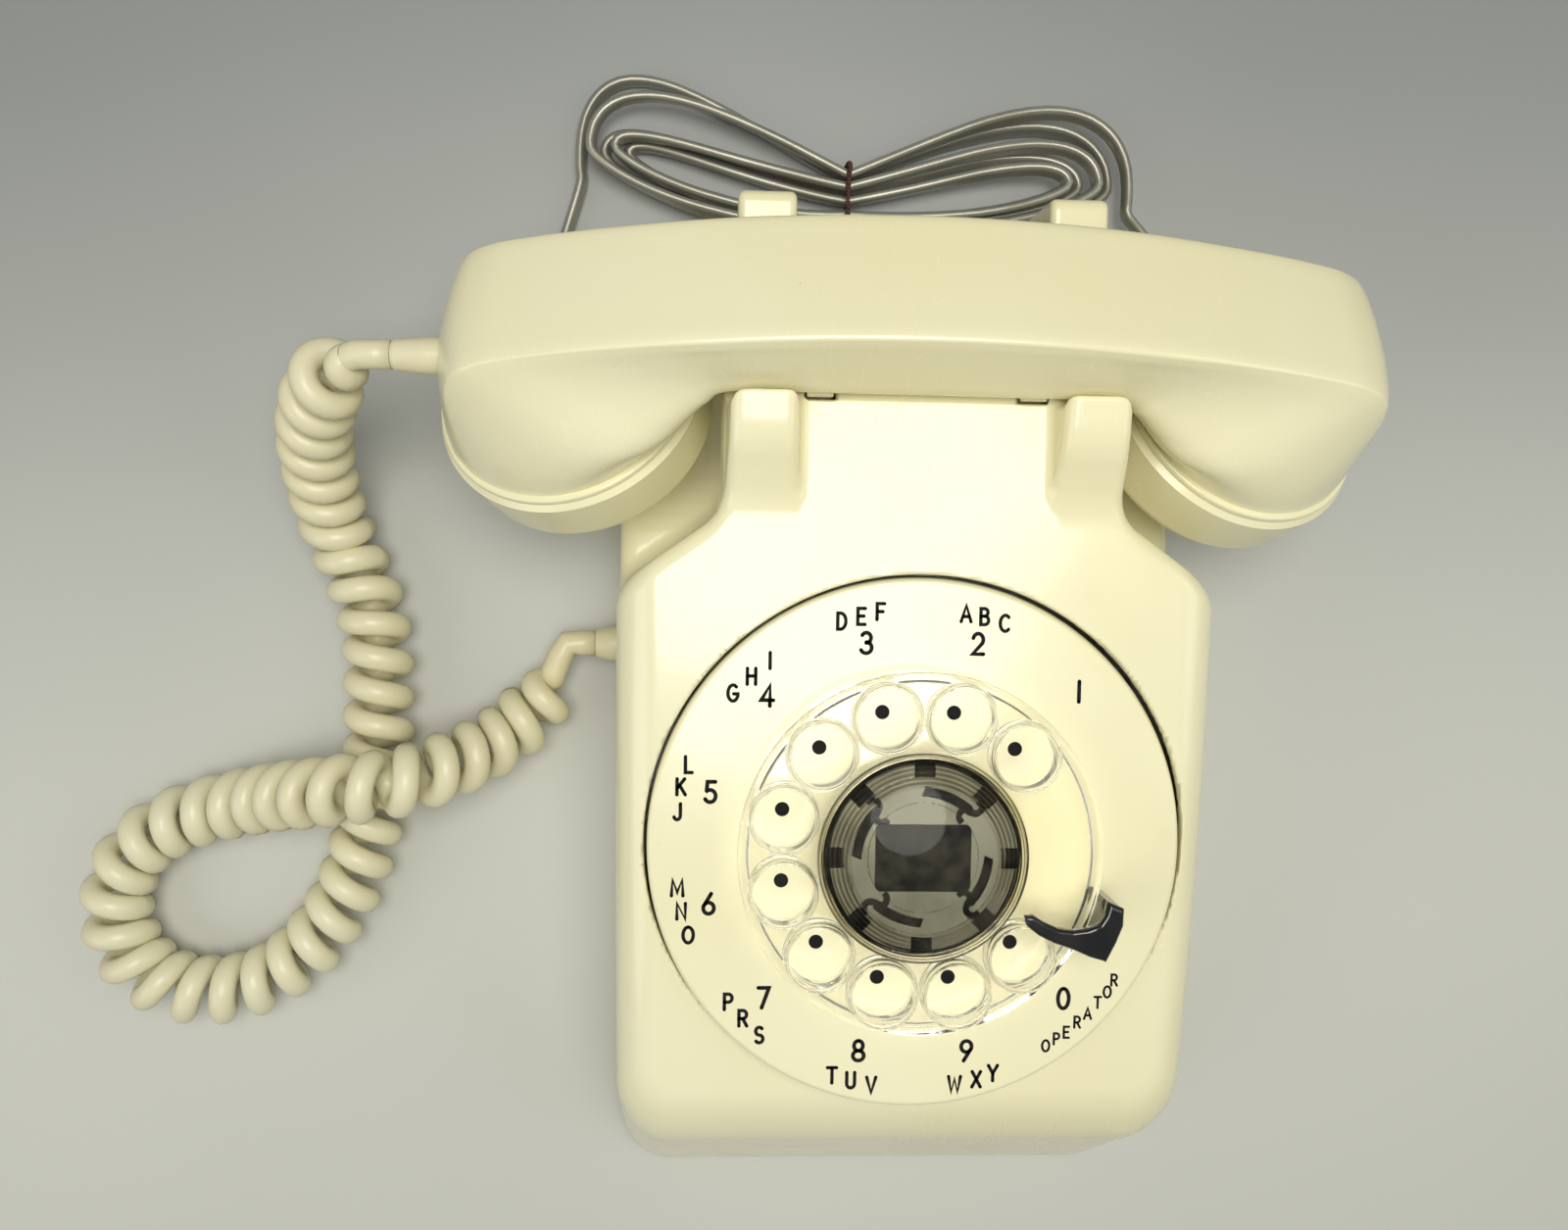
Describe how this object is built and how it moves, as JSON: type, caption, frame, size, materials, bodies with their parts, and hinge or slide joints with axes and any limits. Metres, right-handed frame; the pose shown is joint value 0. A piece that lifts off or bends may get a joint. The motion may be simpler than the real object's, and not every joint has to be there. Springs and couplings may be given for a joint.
{
  "type": "rotary wall telephone",
  "caption": "Moulded wall telephone with a rotary dial, a handset resting across its cradle, a curly handset cord and a tied flat line cord.",
  "frame": {"origin": "back face of the body, on the dial axis, midway between the two wall screws", "axes": "+X across the body to the right, +Y up the wall, +Z out of the wall along the dial axis"},
  "size_m": [0.3169, 0.2892, 0.095],
  "materials": {
    "ivory_plastic": "gloss moulded plastic",
    "cord_ivory": "smooth vinyl",
    "plated_steel": "zinc plated",
    "brass": "plain",
    "black_plastic": "gloss",
    "grey_box": "satin paint",
    "coil_wrap": "matte wrap",
    "clear_acrylic": "clear, slightly yellowed",
    "grey_cord": "satin vinyl",
    "tie_brown": "matte wire tie",
    "clear_plug": "clear moulded"
  },
  "bodies": {
    "root": {"housing": "ivory_plastic", "number_plate": "ivory_plastic", "handset_cord": "cord_ivory", "handset_cord_bushing": "cord_ivory", "base_plate": "plated_steel", "housing_screw": "plated_steel", "dial_frame": "plated_steel", "dial_brackets": "plated_steel", "dial_screws": "plated_steel", "return_spring": "plated_steel", "ringer_frame": "plated_steel", "gongs": "plated_steel", "hook_bracket": "plated_steel", "gear_bridge": "brass", "pulse_contacts": "brass", "governor_cup": "brass", "terminal_screws": "brass", "gong_screws": "brass", "hook_contacts": "brass", "finger_stop": "black_plastic", "network_block": "grey_box", "ringer_magnet": "grey_box", "ringer_coil": "coil_wrap", "line_cord": "grey_cord", "line_cord_hank": "grey_cord", "line_cord_bushing": "grey_cord", "cord_tie": "tie_brown", "line_plug": "clear_plug"},
    "dial": {"finger_wheel": "clear_acrylic", "hub_dome": "clear_acrylic", "card_retainer": "plated_steel", "dial_shaft": "plated_steel", "main_gear": "brass"},
    "pulse_arbor": {"pulse_shaft": "plated_steel", "pulse_cam": "black_plastic"},
    "governor": {"governor_shaft": "plated_steel", "governor_weights": "brass"},
    "plungers": {"plunger_left": "ivory_plastic", "plunger_right": "ivory_plastic", "plunger_bar": "plated_steel"},
    "hook_lever": {"switch_lever": "plated_steel"},
    "striker": {"clapper": "plated_steel"},
    "handset": {"handset_shell": "ivory_plastic", "ear_cap": "ivory_plastic", "mouth_cap": "ivory_plastic", "receiver_unit": "plated_steel", "transmitter_unit": "plated_steel", "transmitter_cup": "black_plastic", "handset_cord_boot": "cord_ivory"}
  },
  "joints": [
    {"name": "dial_turn", "type": "hinge", "parent": "root", "child": "dial", "pos_m": [0, 0, 0.078], "axis": [0, 0, 1], "range_deg": [-330, 0], "stiffness_Nm_per_rad": 0.02, "springref_deg": 20.05},
    {"name": "pulse_turn", "type": "hinge", "parent": "root", "child": "pulse_arbor", "pos_m": [-0.01057, -0.01832, 0.05], "axis": [0, 0, 1], "range_deg": [0, 1980]},
    {"name": "governor_turn", "type": "hinge", "parent": "root", "child": "governor", "pos_m": [-0.0145, -0.03295, 0.05], "axis": [0, 0, 1], "range_deg": [-7920, 0]},
    {"name": "handset_lift", "type": "slide", "parent": "root", "child": "handset", "axis": [0, 0.454, 0.891], "range_m": [0, 0.08]},
    {"name": "plunger_slide", "type": "slide", "parent": "root", "child": "plungers", "axis": [0, 1, 0], "range_m": [0, 0.004]},
    {"name": "lever_swing", "type": "hinge", "parent": "root", "child": "hook_lever", "pos_m": [0, 0.072, 0.044], "axis": [-1, 0, 0], "range_deg": [0, 12]},
    {"name": "clapper_swing", "type": "hinge", "parent": "root", "child": "striker", "pos_m": [0, -0.052, 0.009], "axis": [0, 0, 1], "range_deg": [-2.5, 2.5], "stiffness_Nm_per_rad": 0.001}
  ],
  "couplings": [
    {"joint": "pulse_turn", "follows": "dial_turn", "ratio": -6},
    {"joint": "governor_turn", "follows": "dial_turn", "ratio": 24},
    {"joint": "plunger_slide", "follows": "handset_lift", "ratio": 0.05},
    {"joint": "lever_swing", "follows": "handset_lift", "rad_per_m": 2.6}
  ]
}
